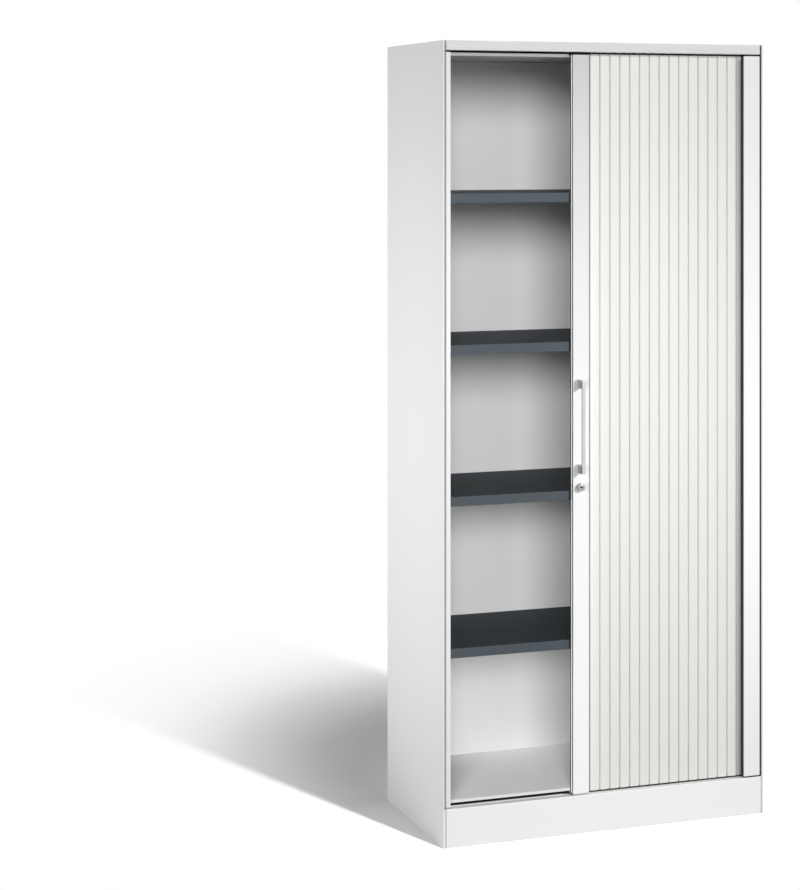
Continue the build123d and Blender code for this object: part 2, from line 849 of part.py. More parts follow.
# ================================================================ lock
with BuildPart() as lock_housing:
    with BuildSketch(Plane(origin=(lock_line, front_y, lock_height), z_dir=(0, -1, 0))):
        Circle(lock_bezel_radius)
    extrude(amount=lock_bezel_reach)
    rim = lock_housing.edges().filter_by(GeomType.CIRCLE).sort_by(Axis.Y)[0]
    fillet(rim, radius=handle_edge_radius)
    with BuildSketch(Plane(origin=(lock_line, front_y, lock_height), z_dir=(0, 1, 0))):
        Circle(lock_barrel_radius)
    extrude(amount=lock_barrel_depth)
    bore_front = front_y - lock_bezel_reach - cut_margin
    with BuildSketch(Plane(origin=(lock_line, bore_front, lock_height), z_dir=(0, 1, 0))):
        Circle(plug_radius + running_clearance)
    extrude(amount=lock_bezel_reach + lock_barrel_depth + 2 * cut_margin, mode=Mode.SUBTRACT)
write(lock_housing, "lock_housing")

with BuildPart() as lock_cylinder:
    plug_front = front_y - lock_bezel_reach + plug_recess
    with BuildSketch(Plane(origin=(lock_line, plug_front, lock_height), z_dir=(0, 1, 0))):
        Circle(plug_radius)
    extrude(amount=lock_bezel_reach - plug_recess + plug_depth)
    block(
        (lock_line - key_slot_width / 2, lock_line + key_slot_width / 2),
        (plug_front - cut_margin, plug_front + key_slot_depth),
        (lock_height - key_slot_height / 2, lock_height + key_slot_height / 2),
        mode=Mode.SUBTRACT,
    )
write(lock_cylinder, "lock_cylinder")

with BuildPart() as lock_hook:
    # the hook hangs down inside the rail; its nose points to the leading side
    with BuildSketch(Plane(origin=(lock_line, hook_y, lock_height), x_dir=(1, 0, 0), z_dir=(0, -1, 0))):
        Circle(hook_hub_radius)
        with Locations((0, -hook_length / 2)):
            Rectangle(hook_width, hook_length)
        with Locations((-hook_width / 2 - hook_nose_reach / 2, -hook_length + hook_nose_height / 2)):
            Rectangle(hook_nose_reach, hook_nose_height)
    extrude(amount=-hook_thickness)
write(lock_hook, "lock_hook")

with BuildPart() as hook_screw:
    with BuildSketch(Plane(origin=(lock_line, hook_y + hook_thickness, lock_height), z_dir=(0, 1, 0))):
        RegularPolygon(radius=screw_head_radius, side_count=6)
    extrude(amount=screw_head_height)
write(hook_screw, "hook_screw")
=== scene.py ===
# %% [markdown]
# # A roll front cabinet, dressed for a studio picture
# The cabinet's solids come from CAD: folded sheet steel, slats, rails and lock, each where it
# belongs. This notebook gives them finishes, replaces the pieces that everybody looks at first with
# finer surfaces, and sets up a plain studio. The CAD solids that are replaced are kept, hidden.
# %% Load the imported solids
from math import radians

import bpy
import numpy as np
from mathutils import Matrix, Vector


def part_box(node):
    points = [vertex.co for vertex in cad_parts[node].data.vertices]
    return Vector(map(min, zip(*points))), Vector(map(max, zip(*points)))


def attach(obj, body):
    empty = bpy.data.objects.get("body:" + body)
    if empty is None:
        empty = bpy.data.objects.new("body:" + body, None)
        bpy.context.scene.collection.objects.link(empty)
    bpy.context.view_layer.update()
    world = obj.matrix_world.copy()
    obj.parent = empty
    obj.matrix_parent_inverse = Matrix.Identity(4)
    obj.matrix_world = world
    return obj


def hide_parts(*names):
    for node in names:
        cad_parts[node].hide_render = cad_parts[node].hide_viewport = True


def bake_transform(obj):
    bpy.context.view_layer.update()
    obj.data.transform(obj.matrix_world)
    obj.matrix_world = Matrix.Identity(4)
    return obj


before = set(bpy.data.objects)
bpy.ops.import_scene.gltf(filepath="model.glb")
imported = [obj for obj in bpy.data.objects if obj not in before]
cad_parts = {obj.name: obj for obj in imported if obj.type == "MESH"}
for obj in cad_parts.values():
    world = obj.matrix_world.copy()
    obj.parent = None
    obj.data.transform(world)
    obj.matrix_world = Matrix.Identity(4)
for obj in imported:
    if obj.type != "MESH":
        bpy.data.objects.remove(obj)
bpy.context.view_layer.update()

# %% [markdown]
# ## Measures
# Everything is in metres, in the frame of the solids. The places that several pieces share are read
# from the solids' boxes, so that a new surface always lies where its solid lies.
# %% Shared places
MM = 0.001


def low(node):
    """Lowest corner of a solid."""
    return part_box(node)[0]


def high(node):
    """Highest corner of a solid."""
    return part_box(node)[1]


LEFT = low("left_side_panel").x
RIGHT = high("right_side_panel").x
FRONT = low("left_side_panel").y
TOP = high("left_side_panel").z
SLAT_NODES = sorted(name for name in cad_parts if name.startswith("slat_"))
SLAT_FRONT = low("slat_01").y
SLAT_BACK = high("slat_01").y
CURTAIN = (SLAT_FRONT + SLAT_BACK) / 2
RUN_TOP = high("right_front_post").z
BODY_BOTTOM = low("right_front_post").z
SLAT_LIFT = 7.6 * MM
SLAT_BOTTOM = high("base_panel").z + SLAT_LIFT
print("front plane at", round(FRONT, 4), "curtain at", round(CURTAIN, 4), "slats", len(SLAT_NODES))

# %% [markdown]
# ## From numbers to a mesh
# A surface here is an array of points, worked out in one go, and a list of faces between them.
# `from_pydata` would take lists; arrays go in faster through `foreach_set`, which copies them
# straight into the mesh. Parts of one piece are put together before that.
# %% Helpers that make meshes


def grid_faces(rows, columns, wrap=False):
    """Quads between neighbours of a grid: row i and column j share a face with i+1 and j+1.

    With wrap, the last column is joined to the first.
    """
    i = np.arange(rows - 1)[:, None]
    j = np.arange(columns if wrap else columns - 1)[None, :]
    k = (j + 1) % columns
    here, there = i * columns, (i + 1) * columns
    return np.stack([here + j, here + k, there + k, there + j], -1).reshape(-1, 4).tolist()


def joined(*shapes):
    """Several (points, faces) pairs as one: the faces of each are counted on from those before."""
    points, faces, count = [], [], 0
    for some_points, some_faces in shapes:
        points.append(np.asarray(some_points, float).reshape(-1, 3))
        faces += [[v + count for v in face] for face in some_faces]
        count += len(points[-1])
    return np.concatenate(points), faces


def piece(name, shape, material, body, replaced=(), smooth=False):
    """Makes an object of (points, faces), rides it on a body and lets it stand for its solids.

    A piece without a body gets no parent.
    """
    points, faces = shape
    mesh = bpy.data.meshes.new(name)
    loops = np.array([v for face in faces for v in face], np.int32)
    sizes = np.array([len(face) for face in faces], np.int32)
    mesh.vertices.add(len(points))
    mesh.vertices.foreach_set("co", np.asarray(points, np.float32).ravel())
    mesh.loops.add(len(loops))
    mesh.loops.foreach_set("vertex_index", loops)
    mesh.polygons.add(len(faces))
    starts = np.concatenate([[0], np.cumsum(sizes)[:-1]]).astype(np.int32)
    mesh.polygons.foreach_set("loop_start", starts)
    mesh.polygons.foreach_set("use_smooth", np.full(len(faces), smooth))
    mesh.update(calc_edges=True)
    mesh.validate()
    obj = bpy.data.objects.new(name, mesh)
    bpy.context.scene.collection.objects.link(obj)
    mesh.materials.append(material)
    if body:
        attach(obj, body)
    if replaced:
        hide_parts(*replaced)
    return obj


# %% [markdown]
# ## Finishes
# Each finish is a small node tree around one Principled shader. The patterns read object
# coordinates in metres, so a noise scale of 700 makes bumps of about a millimetre and a half, the
# size of the grain of real powder paint. What is the same all over is set on the shader itself.
# %% A shader and its patterns


def finish(name, colour, roughness, metallic=0.0):
    """A new material with a Principled shader, and the object coordinates to build patterns on."""
    material = bpy.data.materials.new(name)
    material.use_nodes = True
    tree = material.node_tree
    shader = tree.nodes["Principled BSDF"]
    shader.inputs["Base Color"].default_value = (*colour, 1)
    shader.inputs["Roughness"].default_value = roughness
    shader.inputs["Metallic"].default_value = metallic
    where = tree.nodes.new("ShaderNodeTexCoord")
    return material, tree, shader, where.outputs["Object"]


def noise(tree, where, scale, stretch=(1, 1, 1), detail=2.0):
    """Noise of a scale per metre; a stretch below 1 along an axis draws it out along that axis."""
    mapping = tree.nodes.new("ShaderNodeMapping")
    mapping.inputs["Scale"].default_value = stretch
    texture = tree.nodes.new("ShaderNodeTexNoise")
    texture.inputs["Scale"].default_value = scale
    texture.inputs["Detail"].default_value = detail
    tree.links.new(where, mapping.inputs["Vector"])
    tree.links.new(mapping.outputs["Vector"], texture.inputs["Vector"])
    return texture.outputs["Fac"]


def spread(tree, value, low_value, high_value, low_from=0.35, high_from=0.65):
    """The middle of a noise's range, stretched to run between two values."""
    ramp = tree.nodes.new("ShaderNodeMapRange")
    ramp.inputs["From Min"].default_value = low_from
    ramp.inputs["From Max"].default_value = high_from
    ramp.inputs["To Min"].default_value = low_value
    ramp.inputs["To Max"].default_value = high_value
    tree.links.new(value, ramp.inputs["Value"])
    return ramp.outputs["Result"]


# %% [markdown]
# A pattern reaches the shader as a colour that runs between two tones and as relief. Most finishes
# here have one of each, so one function makes them.
# %% Tone and relief


def tinted(tree, shader, value, colour_a, colour_b):
    """Base colour that runs from one tone to another with a pattern."""
    mix = tree.nodes.new("ShaderNodeMix")
    mix.data_type = "RGBA"
    mix.inputs["A"].default_value = (*colour_a, 1)
    mix.inputs["B"].default_value = (*colour_b, 1)
    tree.links.new(value, mix.inputs["Factor"])
    tree.links.new(mix.outputs["Result"], shader.inputs["Base Color"])


def bumped(tree, shader, value, height, strength):
    """Small relief from a pattern, of a height in metres."""
    bump = tree.nodes.new("ShaderNodeBump")
    bump.inputs["Strength"].default_value = strength
    bump.inputs["Distance"].default_value = height
    tree.links.new(value, bump.inputs["Height"])
    tree.links.new(bump.outputs["Normal"], shader.inputs["Normal"])


def two_toned(name, tones, roughness, clouds, grain, height, strength, specular=None):
    """A finish with clouds between two tones and a relief, each (scale, stretch, detail).

    The relief's height is in metres. A specular level below 0.5 makes the surface duller.
    """
    material, tree, shader, where = finish(name, tones[0], roughness)
    tinted(tree, shader, spread(tree, noise(tree, where, *clouds), 0, 1), *tones)
    bumped(tree, shader, noise(tree, where, *grain), height, strength)
    if specular is not None:
        shader.inputs["Specular IOR Level"].default_value = specular
    return material


# %% [markdown]
# ### Powder paint
# The carcass is coated with baked powder, which flows into a skin with a very fine "orange peel",
# satin rather than glossy, and no two square metres are quite the same tone. So there are three
# noises: a fine one for the peel, a broad one for the sheen and a broader one for the tone. The
# shelves' anthracite paint is nearly matt, which a low specular level gives.
# %% Powder paints
TONE_SCALE, SHEEN_SCALE, PEEL_SCALE = 1.7, 24, 720
SHEEN_SPREAD = 0.015
PEEL_HEIGHT = 0.04 * MM


def powder_paint(name, tone, shade, roughness=0.42):
    """Baked powder: clouds of tone, a sheen that varies a little, and the peel as relief."""
    material, tree, shader, where = finish(name, tone, roughness)
    clouds = noise(tree, where, TONE_SCALE, detail=3)
    tinted(tree, shader, spread(tree, clouds, 0, 1), tone, shade)
    sheen = spread(tree, noise(tree, where, SHEEN_SCALE, detail=4),
                   roughness - SHEEN_SPREAD, roughness + SHEEN_SPREAD)
    tree.links.new(sheen, shader.inputs["Roughness"])
    bumped(tree, shader, noise(tree, where, PEEL_SCALE, detail=1.5), PEEL_HEIGHT, strength=0.5)
    return material


white_paint = powder_paint("white powder paint", (0.885, 0.885, 0.875), (0.875, 0.876, 0.868))
inner_paint = powder_paint("inner powder paint", (0.80, 0.80, 0.80), (0.79, 0.79, 0.792), 0.5)
# The roof's grey is painted shade: the inside of the roof panel is darkened as if in shadow.
roof_shade_paint = powder_paint("grey powder paint as roof shade", (0.30, 0.30, 0.295), (0.29, 0.29, 0.286), 0.55)
dark_paint = powder_paint("anthracite powder paint", (0.090, 0.107, 0.120),
                          (0.086, 0.102, 0.115), 0.55)
dark_paint.node_tree.nodes["Principled BSDF"].inputs["Specular IOR Level"].default_value = 0.03
# The base panel's black is painted shade: it darkens the gaps that the panel shows through.
gap_shade_primer = powder_paint("black primer", (0.018, 0.018, 0.018), (0.013, 0.013, 0.013), 0.7)
print("powder paints", [m.name for m in (white_paint, inner_paint, roof_shade_paint, dark_paint, gap_shade_primer)])

# %% [markdown]
# ### Slats, caps and tracks
# The slats are extruded plastic. Extruding leaves very fine lines along the slat, so the noise is
# drawn out along Z, and the surface keeps a soft, slightly warm white. The caps are moulded, with a
# finer grain that runs no way in particular.
# %% Extruded and moulded plastic
EVEN = (1, 1, 1)

slat_plastic = two_toned(
    "slat plastic", ((0.872, 0.869, 0.83), (0.852, 0.85, 0.812)), roughness=0.48,
    clouds=(6, (1, 1, 0.15), 3), grain=(1600, (1, 1, 0.012), 2), height=0.03 * MM, strength=0.5)


def grey_moulding(name):
    """Plastic of the rail's lower cap and of the lower track."""
    return two_toned(name, ((0.82, 0.82, 0.81), (0.77, 0.77, 0.765)), roughness=0.5,
                     clouds=(60, EVEN, 4), grain=(900, EVEN, 2), height=0.04 * MM, strength=0.6)


grey_plastic = grey_moulding("cap plastic")
black_plastic = two_toned(
    "black plastic", ((0.016, 0.016, 0.017), (0.03, 0.03, 0.031)), roughness=0.55,
    clouds=(45, EVEN, 4), grain=(1100, EVEN, 2), height=0.05 * MM, strength=0.7, specular=0.15)
track_plastic_and_shade = grey_moulding("track plastic and painted shade")
print("plastics", slat_plastic.name, grey_plastic.name, black_plastic.name, track_plastic_and_shade.name)

# %% [markdown]
# The lower track is grey, and its rear wall is painted black along the top as painted shade: the
# dark shadow gap under the slats. The track is one solid, so the colour is switched over at a
# height: a step in Z, a tenth of a millimetre wide, chooses between the two.
# %% Painted shade band on the lower track
SHADE_BAND_HEIGHT = 1.8 * MM
HALF_STEP = 0.05 * MM
shade_band_start = high("lower_track").z - SHADE_BAND_HEIGHT
tree = track_plastic_and_shade.node_tree
base_colour = tree.nodes["Principled BSDF"].inputs["Base Color"]
heights = tree.nodes.new("ShaderNodeSeparateXYZ")
tree.links.new(tree.nodes.new("ShaderNodeTexCoord").outputs["Object"], heights.inputs["Vector"])
above = spread(tree, heights.outputs["Z"], 0, 1, shade_band_start - HALF_STEP, shade_band_start + HALF_STEP)
shade_band_mix = tree.nodes.new("ShaderNodeMix")
shade_band_mix.data_type = "RGBA"
shade_band_mix.inputs["B"].default_value = (0.02, 0.02, 0.021, 1)
tree.links.new(above, shade_band_mix.inputs["Factor"])
tree.links.new(base_colour.links[0].from_socket, shade_band_mix.inputs["A"])
tree.links.new(shade_band_mix.outputs["Result"], base_colour)
print("painted shade band from", round(shade_band_start, 4), "m up")

# %% [markdown]
# ### Rubber and bristles
# The seals are dull and dark. The same black rubber also makes the strips that stand in as painted
# shade in the joints at the right post and beside the rail. The one on the right post is a brush:
# its bristles run across the curtain, so the noise is drawn out along Y and changes quickly along
# Z.
# %% Seals
BRISTLES = (2600, (1, 0.02, 1), 2)

seal_and_shade_rubber = two_toned(
    "seal and shade rubber", ((0.014, 0.014, 0.015), (0.035, 0.035, 0.036)), roughness=0.75,
    clouds=(160, EVEN, 4), grain=(1500, EVEN, 3), height=0.06 * MM, strength=0.8, specular=0.15)
brush = two_toned(
    "seal bristles", ((0.008, 0.008, 0.008), (0.05, 0.05, 0.052)), roughness=0.8,
    clouds=BRISTLES, grain=BRISTLES, height=0.2 * MM, strength=1.0)
print("seals", seal_and_shade_rubber.name, brush.name)

# %% [markdown]
# ### Metals
# The handle is satin chrome, ground lengthways before plating; the lock is a darker chrome. The
# rail is an aluminium extrusion with a white coat that still shows its lines. Small hardware is
# zinc plated: its crystals, called spangle, are flat patches with slightly different tones, which a
# Voronoi texture draws well.
# %% Satin chrome, coated aluminium and zinc


def satin(name, light_tone, dark_tone):
    """Chrome over a surface that was ground along Z: the lines show in tone, sheen and relief."""
    material, tree, shader, where = finish(name, light_tone, 0.3, metallic=1.0)
    lines = noise(tree, where, 2200, (1, 1, 0.015), 3)
    tinted(tree, shader, spread(tree, lines, 0, 1), light_tone, dark_tone)
    tree.links.new(spread(tree, lines, 0.24, 0.36), shader.inputs["Roughness"])
    bumped(tree, shader, lines, height=0.02 * MM, strength=0.5)
    return material


satin_chrome = satin("satin chrome", (0.64, 0.645, 0.64), (0.55, 0.555, 0.55))
lock_chrome = satin("lock chrome", (0.47, 0.475, 0.475), (0.40, 0.405, 0.405))
rail_coat = two_toned(
    "coated aluminium", ((0.912, 0.912, 0.906), (0.888, 0.888, 0.882)), roughness=0.33,
    clouds=(3, (1, 1, 0.2), 3), grain=(1300, (1, 1, 0.01), 2), height=0.02 * MM, strength=0.5)
zinc, tree, shader, where = finish("zinc plating", (0.6, 0.61, 0.62), 0.4, metallic=1.0)
cells = tree.nodes.new("ShaderNodeTexVoronoi")
cells.inputs["Scale"].default_value = 220
tree.links.new(where, cells.inputs["Vector"])
patch = tree.nodes.new("ShaderNodeSeparateColor")
tree.links.new(cells.outputs["Color"], patch.inputs["Color"])
tinted(tree, shader, patch.outputs["Red"], (0.50, 0.51, 0.53), (0.70, 0.71, 0.72))
tree.links.new(spread(tree, patch.outputs["Green"], 0.32, 0.5, 0, 1), shader.inputs["Roughness"])
# The keyway's nearly black metal is painted shade: the dark inside the keyhole.
keyway, tree, shader, where = finish("keyway", (0.02, 0.02, 0.02), 0.5, metallic=1.0)
tinted(tree, shader, spread(tree, noise(tree, where, 900, detail=3), 0, 1),
       (0.015, 0.015, 0.015), (0.05, 0.05, 0.05))
print("metals", satin_chrome.name, lock_chrome.name, rail_coat.name, zinc.name, keyway.name)

# %% [markdown]
# ## Finishes for the sheet metal
# Folded sheet is what CAD draws best, so the carcass keeps its solids and only gets its paint. The
# inner box has a duller batch of the same paint, the uprights and clips are zinc plated and the
# shelves anthracite. The roof panel is painted grey inside: that grey is painted shade, the dark
# under the roof. Its faces that look forwards, found by their normals, get a slot of their own in
# white for its front edge. The rail's lower cap is grey too, found by the height of its faces.
# %% Paint the carcass
SHELVES = [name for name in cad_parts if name.startswith("shelf_") and name != "shelf_clips"]
UPRIGHTS = [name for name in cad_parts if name.startswith("upright_")]
FINISH_OF = {
    white_paint: ["left_side_panel", "right_side_panel", "top_panel", "plinth_front", "plinth_rear",
                  "plinth_sides", "left_front_post", "right_front_post", "back_panel"],
    inner_paint: ["left_inner_wall", "right_inner_wall", "back_inner_wall", "floor_panel"],
    # The base panel is black as painted shade in the gaps.
    gap_shade_primer: ["base_panel"],
    roof_shade_paint: ["roof_panel"],
    dark_paint: SHELVES,
    zinc: UPRIGHTS + ["shelf_clips", "lock_keeper", "lock_hook", "hook_screw", "handle_screws",
                      "back_screws"],
    black_plastic: ["upper_track", "rail_caps"],
    brush: ["post_seal"],
    track_plastic_and_shade: ["lower_track"],
}
for material, names in FINISH_OF.items():
    for name in names:
        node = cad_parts[name]
        node.data.materials.clear()
        node.data.materials.append(material)


def face_values(obj, what):
    """The normals or centres of an object's faces, one row each."""
    values = np.empty((len(obj.data.polygons), 3), np.float32)
    obj.data.polygons.foreach_get(what, values.ravel())
    return values


def second_finish(obj, material, chosen):
    """Gives the chosen faces of a piece, one True or False for each, another material."""
    obj.data.materials.append(material)
    obj.data.polygons.foreach_set("material_index", np.asarray(chosen).astype(np.int32))


FORWARDS = -0.9
roof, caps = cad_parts["roof_panel"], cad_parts["rail_caps"]
second_finish(roof, white_paint, face_values(roof, "normal")[:, 1] < FORWARDS)
second_finish(caps, grey_plastic, face_values(caps, "center")[:, 2] < TOP / 2)
print("finished solids", sum(len(names) for names in FINISH_OF.values()))

# %% [markdown]
# ## The curtain
# A slat is an extrusion: a flat face with a crisp left edge, a soft bevel towards its right
# neighbour, and a narrower back, so that the curtain can bend around the corner. The face is very
# slightly crowned, which makes each slat take the light a little differently across its width.
# %% Outline of a slat
SLAT_WIDTH = 25.8 * MM
SLAT_DEPTH = SLAT_BACK - SLAT_FRONT
SLAT_SPACING = 27.5 * MM
HALF_JOINT = 0.85 * MM
BEVEL_WIDTH = 3.4 * MM
BEVEL_DEPTH = 1.2 * MM
CROWN = 0.12 * MM
LEFT_CHAMFER = 2.0 * MM
LEFT_FALL = 3.2 * MM
LEFT_FLANK_END = 0.8 * MM
RIGHT_FLANK_END = 0.4 * MM
BACK_HALF_WIDTH = 9.5 * MM
BACK_FLAT_HALF_WIDTH = 9.0 * MM
BACK_CHAMFER = 0.4 * MM
FACE_POINTS, BEVEL_POINTS = 7, 5


def slat_outline():
    """Outline in the slat's own axes: x across, y into the cabinet, the origin in its middle.

    Along the face, y = front + crown (2 s - 1)^2 with s from 0 to 1 across the flat part; then the
    bevel falls in a quarter cosine, y = front + depth (1 - cos(t pi / 2)), to the right edge.
    """
    half, front, back = SLAT_WIDTH / 2, -SLAT_DEPTH / 2, SLAT_DEPTH / 2
    s = np.linspace(0, 1, FACE_POINTS)
    face = np.stack([-half + LEFT_CHAMFER + s * (SLAT_WIDTH - BEVEL_WIDTH - LEFT_CHAMFER),
                     front + CROWN * (2 * s - 1) ** 2], -1)
    t = np.linspace(0, 1, BEVEL_POINTS + 1)[1:]
    fall = np.stack([half - BEVEL_WIDTH + t * BEVEL_WIDTH,
                     front + CROWN + (BEVEL_DEPTH - CROWN) * (1 - np.cos(t * np.pi / 2))], -1)
    rest = np.array([[half, RIGHT_FLANK_END],
                     [BACK_HALF_WIDTH, back - BACK_CHAMFER], [BACK_FLAT_HALF_WIDTH, back],
                     [-BACK_FLAT_HALF_WIDTH, back], [-BACK_HALF_WIDTH, back - BACK_CHAMFER],
                     [-half, LEFT_FLANK_END], [-half, front + LEFT_FALL + CROWN]])
    return np.concatenate([face, fall, rest])


print("slat outline points", len(slat_outline()))

# %% [markdown]
# A slat, a rail or a strip is an upright bar: an outline carried from level to level and closed at
# both ends. Where the outline is a polygon, its corners can be rounded first.
# %% Helpers for upright bars
# Half the angle between two sides, in radians, from which a corner is left as it is.
NEARLY_STRAIGHT = 1.56


def rounded(corners, radii, steps=5):
    """A closed outline with its corners rounded.

    At a corner with unit directions a and b to its neighbours and half angle h between them, the
    arc starts r / tan(h) along a and ends as far along b, around a centre r / sin(h) along a + b.
    """
    corners = np.asarray(corners, float)
    radii = np.broadcast_to(np.asarray(radii, float), len(corners))
    outline = []
    for n, corner in enumerate(corners):
        a = corners[n - 1] - corner
        b = corners[(n + 1) % len(corners)] - corner
        a, b = a / np.linalg.norm(a), b / np.linalg.norm(b)
        half = np.arccos(np.clip(a @ b, -1, 1)) / 2
        if radii[n] <= 0 or half > NEARLY_STRAIGHT:
            outline.append(corner[None])
            continue
        middle = (a + b) / np.linalg.norm(a + b)
        centre = corner + middle * radii[n] / np.sin(half)
        start = corner + a * radii[n] / np.tan(half) - centre
        end = corner + b * radii[n] / np.tan(half) - centre
        total = np.arctan2(start[0] * end[1] - start[1] * end[0], start @ end)
        turn = np.linspace(0, total, steps)[:, None]
        side = np.array([-start[1], start[0]])
        outline.append(centre + np.cos(turn) * start + np.sin(turn) * side)
    return np.concatenate(outline)


def tube_faces(rows, columns):
    """Faces of a closed tube: quads around it from row to row, then a face at each end."""
    last = (rows - 1) * columns
    ends = [list(range(columns))[::-1], list(range(last, last + columns))]
    return grid_faces(rows, columns, wrap=True) + ends


def column(outline, levels):
    """An upright bar: the outline at each level, with quads between levels and a face at each end.

    Point (i, j) is (outline_j.x, outline_j.y, levels_i). The outline runs counterclockwise seen
    from above, so that the faces point outwards.
    """
    outline, levels = np.asarray(outline, float), np.asarray(levels, float)
    points = np.empty((len(levels), len(outline), 3))
    points[..., :2] = outline[None]
    points[..., 2] = levels[:, None]
    return points.reshape(-1, 3), tube_faces(len(levels), len(outline))


def box_outline(x_span, y_span, corner=0.0):
    """Rectangle between two spans, counterclockwise, its corners rounded or sharp."""
    (x0, x1), (y0, y1) = x_span, y_span
    return rounded([(x0, y0), (x1, y0), (x1, y1), (x0, y1)], corner)


# %% [markdown]
# Each end of a slat sits in a black glider: a plate as deep as the slat, with a skirt in front. A
# rounded guide on it runs in the track. The black skirt is painted shade: it draws the dark line of
# shadow under the slats.
# %% A slat with its gliders and guides
GUIDE_HALF_WIDTH, GUIDE_HALF_DEPTH, GUIDE_CORNER = 5.5 * MM, 1.5 * MM, 1.2 * MM
GLIDER_FRONT = 4.8 * MM
GLIDER_CORNER = 0.3 * MM
SOLE_THICKNESS = 0.45 * MM
TOP_GLIDER_HEIGHT = 3.9 * MM
SHADE_SKIRT_THICKNESS = 0.6 * MM
SHADE_SKIRT_DROP = 0.6 * MM
GUIDE_BOTTOM, GUIDE_TOP = low("slat_01").z, high("slat_01").z


def slat_shape(place, turn=0.0):
    """A slat, its two gliders and their guides at a place on the track, turned to its direction.

    Returns the shape and, for each face, whether it is part of a glider.
    """
    c, s = np.cos(turn), np.sin(turn)
    to_track = np.array([[c, s], [-s, c]])
    half, sole = SLAT_WIDTH / 2, SLAT_BOTTOM - SOLE_THICKNESS
    guide = box_outline((-GUIDE_HALF_WIDTH, GUIDE_HALF_WIDTH),
                        (-GUIDE_HALF_DEPTH, GUIDE_HALF_DEPTH), GUIDE_CORNER) @ to_track + place
    glider = box_outline((-half, half), (-GLIDER_FRONT, SLAT_DEPTH / 2),
                         GLIDER_CORNER) @ to_track + place
    # The black skirt in front is painted shade under the slats.
    shade_skirt = box_outline((-half, half),
                        (-GLIDER_FRONT, -GLIDER_FRONT + SHADE_SKIRT_THICKNESS)) @ to_track + place
    body = column(slat_outline() @ to_track + place, (SLAT_BOTTOM, RUN_TOP))
    ends = joined(
        column(glider, (sole, SLAT_BOTTOM)),
        column(shade_skirt, (GUIDE_BOTTOM - SHADE_SKIRT_DROP, sole)),
        column(glider, (RUN_TOP, RUN_TOP + TOP_GLIDER_HEIGHT)),
        column(guide, (GUIDE_BOTTOM, SLAT_BOTTOM)),
        column(guide, (RUN_TOP, GUIDE_TOP)),
    )
    return joined(body, ends), [False] * len(body[1]) + [True] * len(ends[1])


print("glider top at", round(RUN_TOP + TOP_GLIDER_HEIGHT, 4))

# %% [markdown]
# The fifteen slats in front each ride on a body of their own. The stored ones, around the corner
# and along the right wall, follow the tracks: straight, a quarter circle, and straight again.
# %% Slats in front, in the corner and in the pocket
STORED_SLATS = 14
SLATS_START = low("slat_01").x - HALF_JOINT
TRACK_INSET = 20 * MM
CORNER_RADIUS = 42 * MM
CORNER_X = RIGHT - TRACK_INSET - CORNER_RADIUS
CORNER_Y = CURTAIN + CORNER_RADIUS


def on_track(distance):
    """Place and turn at a distance along the track, counted from the start of the corner.

    Before it x = corner + d, y = curtain. Along it the angle is a = d / r and the point
    (corner + r sin a, centre - r cos a). After it the track runs straight back.
    """
    angle = np.clip(distance / CORNER_RADIUS, 0, np.pi / 2)
    before = min(distance, 0)
    after = max(distance - CORNER_RADIUS * np.pi / 2, 0)
    place = np.array([CORNER_X + CORNER_RADIUS * np.sin(angle) + before,
                      CORNER_Y - CORNER_RADIUS * np.cos(angle) + after])
    return place, angle


for number, name in enumerate(SLAT_NODES, start=1):
    middle = np.array([SLATS_START + (number - 0.5) * SLAT_SPACING, CURTAIN])
    shape, glider_faces = slat_shape(middle)
    slat = piece(f"curtain_{name}", shape, slat_plastic, name, [name])
    second_finish(slat, black_plastic, glider_faces)

stored = []
for number in range(len(SLAT_NODES) + 1, len(SLAT_NODES) + 1 + STORED_SLATS):
    place, angle = on_track(SLATS_START + (number - 0.5) * SLAT_SPACING - CORNER_X)
    stored.append(slat_shape(place, angle))
stored_slats = piece("stored_slats", joined(*[shape for shape, _ in stored]), slat_plastic,
                     "cabinet", ["corner_slats", "pocket_slats"])
second_finish(stored_slats, black_plastic, sum([glider_faces for _, glider_faces in stored], []))
print("slats", len(SLAT_NODES), "in front and", len(stored), "stored")

# %% [markdown]
# ### Webs between the slats
# When the shutter is drawn out, the slats move apart in this model, where the real curtain would
# bring more slats from the pocket. A thin web, hidden in the joint at rest, stands behind each
# joint to keep the curtain closed. The webs are made here without a body, so nothing in this script
# moves their edges with the slats.
# %% Webs
WEB_DEPTH = 4.2 * MM
WEB_OVERLAP = 1.2 * MM
WEB_THICKNESS = 0.5 * MM
WEB_BOTTOM = SLAT_BOTTOM - 4.6 * MM
WEB_STRIPS = 8


def web(number):
    """A flat strip behind the joint to the right of a slat, as a grid of 4 rows of points.

    Point (i, j) is (x_j, y, z_i); the rows of faces at both ends are black, like the gliders. The
    strip rides on no body.
    """
    left_x = SLATS_START + number * SLAT_SPACING - HALF_JOINT - WEB_OVERLAP
    right_x = left_x + 2 * HALF_JOINT + 2 * WEB_OVERLAP
    levels = np.array([WEB_BOTTOM, SLAT_BOTTOM, RUN_TOP, RUN_TOP + TOP_GLIDER_HEIGHT])
    points = np.empty((len(levels), WEB_STRIPS + 1, 3))
    points[..., 0] = np.linspace(left_x, right_x, WEB_STRIPS + 1)[None]
    points[..., 1] = SLAT_FRONT + WEB_DEPTH
    points[..., 2] = levels[:, None]
    obj = piece(f"web_{number:02d}", (points.reshape(-1, 3), grid_faces(*points.shape[:2])),
                slat_plastic, None)
    second_finish(obj, black_plastic, np.repeat([True, False, True], WEB_STRIPS))
    solid = obj.modifiers.new("thickness", "SOLIDIFY")
    solid.thickness = WEB_THICKNESS
    solid.offset = -1
    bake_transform(obj)


for number in range(1, len(SLAT_NODES)):
    web(number)
web(len(SLAT_NODES))
print("webs", len(SLAT_NODES))
